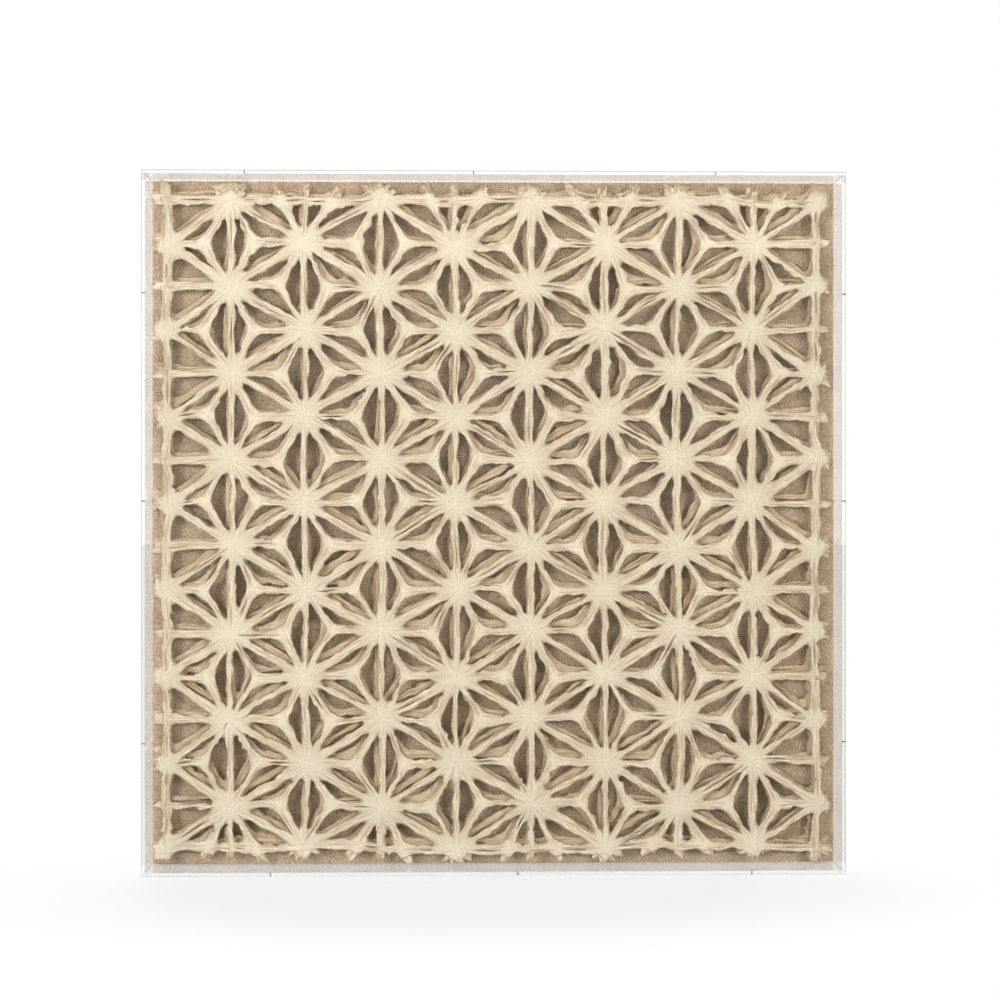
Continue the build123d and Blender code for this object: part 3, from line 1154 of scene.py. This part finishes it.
for along, rails in ((ALONG_X, ("top_rail", "bottom_rail")), (ALONG_Z, ("left_rail", "right_rail"))):
    pine = wood_material(f"pine_{along}", *PINE, along)
    for node in rails:
        set_material(nodes[node], pine)
set_material(nodes["backing_board"], fibre_board_material("fibre_board", *FIBRE_BOARD))


# Floor, world and lamps

# Size of the floor in metres, the patch of it that keeps the shadow, and how white it is there
FLOOR_SIZE = 30
FLOOR_DROP = 0.4 * MM
SHADE_CENTRE = (-0.03, -0.1, 0)
SHADE_SIZE = (0.58, 0.29, 1)
SHADE_CORE_SHARE = 0.5
FLOOR_WHITE = 0.81

# How far mirror images are dimmed, the gain of what is seen through the sheet, and the light from all round
MIRROR_DIMMING = 0.9
SEEN_THROUGH_GAIN = 0.2
FRONT_HEADINGS = (-0.5, -0.9)
SOFT_LIGHT = ((1.0, 0.81, 0.64, 1), 0.26)

# Place, target, size, power and colour of each lamp
LAMPS = {
    "key": ((-2.0, -2.2, 0.9), (0, 0, 0.4), 0.6, 32, (1.0, 0.985, 0.965)),
    "fill": ((1.9, -2.3, 0.75), (0, 0, 0.4), 0.6, 21, (1.0, 0.955, 0.89)),
    "back": ((-0.3, 1.3, 2.7), (0, -0.4, 0), 1.2, 48, (1.0, 0.99, 0.975)),
}


def white_to_eye(tree):
    """1 for rays that show the background to the camera, also through glass, and 0 for rays that light."""
    path = add_node(tree, "ShaderNodeLightPath")
    total = math_node(tree, "ADD", path.outputs["Is Camera Ray"], path.outputs["Is Glossy Ray"])
    total = math_node(tree, "ADD", total, path.outputs["Is Transmission Ray"], clamp=True)
    return math_node(tree, "SUBTRACT", total, path.outputs["Diffuse Depth"], clamp=True)


def dim_mirrored(tree, in_front):
    """Brightness of the white background, which is dimmer in mirror images of what lies before the box."""
    path = add_node(tree, "ShaderNodeLightPath")
    mirrored = math_node(tree, "MINIMUM", path.outputs["Glossy Depth"], 1.0)
    dim = math_node(tree, "MULTIPLY", mirrored, in_front)
    return math_node(tree, "MULTIPLY_ADD", dim, -MIRROR_DIMMING, 1.0)


def studio_floor():
    """White to the eye but for a patch in front of the box, which keeps its shadow."""
    bm = bmesh.new()
    bmesh.ops.create_grid(bm, x_segments=1, y_segments=1, size=FLOOR_SIZE / 2)
    material, tree, shader, place = new_material("floor")
    shader.inputs["Base Color"].default_value = (0.9, 0.9, 0.895, 1)
    shader.inputs["Roughness"].default_value = 0.9
    shader.inputs["Specular IOR Level"].default_value = 0.0
    depth = add_node(tree, "ShaderNodeSeparateXYZ", {0: place}).outputs["Y"]
    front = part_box("front_pane")[0].y
    strength = dim_mirrored(tree, ranged(tree, depth, front, 2 * front))
    glow = add_node(tree, "ShaderNodeEmission", {"Color": (1, 1, 1, 1), "Strength": strength})
    offset = vector_math(tree, "SUBTRACT", place, SHADE_CENTRE).outputs[0]
    scaled = vector_math(tree, "DIVIDE", offset, SHADE_SIZE).outputs[0]
    distance = vector_math(tree, "LENGTH", scaled).outputs["Value"]
    white = ranged(tree, distance, SHADE_CORE_SHARE, 1.0, FLOOR_WHITE, 1.0)
    share = math_node(tree, "MULTIPLY", white, white_to_eye(tree))
    mix_shaders(tree, share, shader, glow)
    floor = piece_from("floor", bm, material, smooth=False)
    floor.location.z = -FLOOR_DROP
    floor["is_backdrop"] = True


def studio_world():
    """White to the eye, and a little warm light from all round for the rest."""
    world = bpy.data.worlds.new("studio")
    bpy.context.scene.world = world
    world.use_nodes = True
    tree = world.node_tree
    tree.nodes.clear()
    tree.nodes.new("ShaderNodeOutputWorld")
    soft = add_node(tree, "ShaderNodeBackground", dict(zip(("Color", "Strength"), SOFT_LIGHT)))
    heading = add_node(tree, "ShaderNodeTexCoord").outputs["Generated"]
    depth = add_node(tree, "ShaderNodeSeparateXYZ", {0: heading}).outputs["Y"]
    through = add_node(tree, "ShaderNodeLightPath").outputs["Is Transmission Ray"]
    dimmed = dim_mirrored(tree, ranged(tree, depth, *FRONT_HEADINGS))
    strength = math_node(tree, "MULTIPLY_ADD", through, SEEN_THROUGH_GAIN, dimmed)
    seen = add_node(tree, "ShaderNodeBackground", {"Color": (1, 1, 1, 1), "Strength": strength})
    mix_shaders(tree, white_to_eye(tree), soft, seen)


def area_lamp(name, place, target, size, power, colour):
    light = bpy.data.lights.new(name, "AREA")
    light.shape = "DISK"
    light.size = size
    light.energy = power
    light.color = colour
    lamp = placed(name, light)
    lamp.location = place
    lamp.rotation_euler = (Vector(target) - Vector(place)).to_track_quat("-Z", "Y").to_euler()


def camera():
    data = bpy.data.cameras.new("camera")
    data.sensor_width = SENSOR
    data.lens = FOCAL_PIXELS / FRAME_PIXELS * SENSOR
    data.clip_start = CLIP_START
    eye = placed("camera", data)
    eye.location = CAMERA_PLACE
    eye.rotation_euler = Euler((math.pi / 2 + CAMERA_PITCH, 0, CAMERA_YAW))
    bpy.context.scene.camera = eye


studio_floor()
studio_world()
for name, settings in LAMPS.items():
    area_lamp(name, *settings)
camera()
bpy.context.scene.view_settings.view_transform = "Standard"

visual_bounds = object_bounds()
bounds = {"cad": cad_bounds, "visual": visual_bounds}
{name: [list(corner) for corner in corners] for name, corners in bounds.items()}
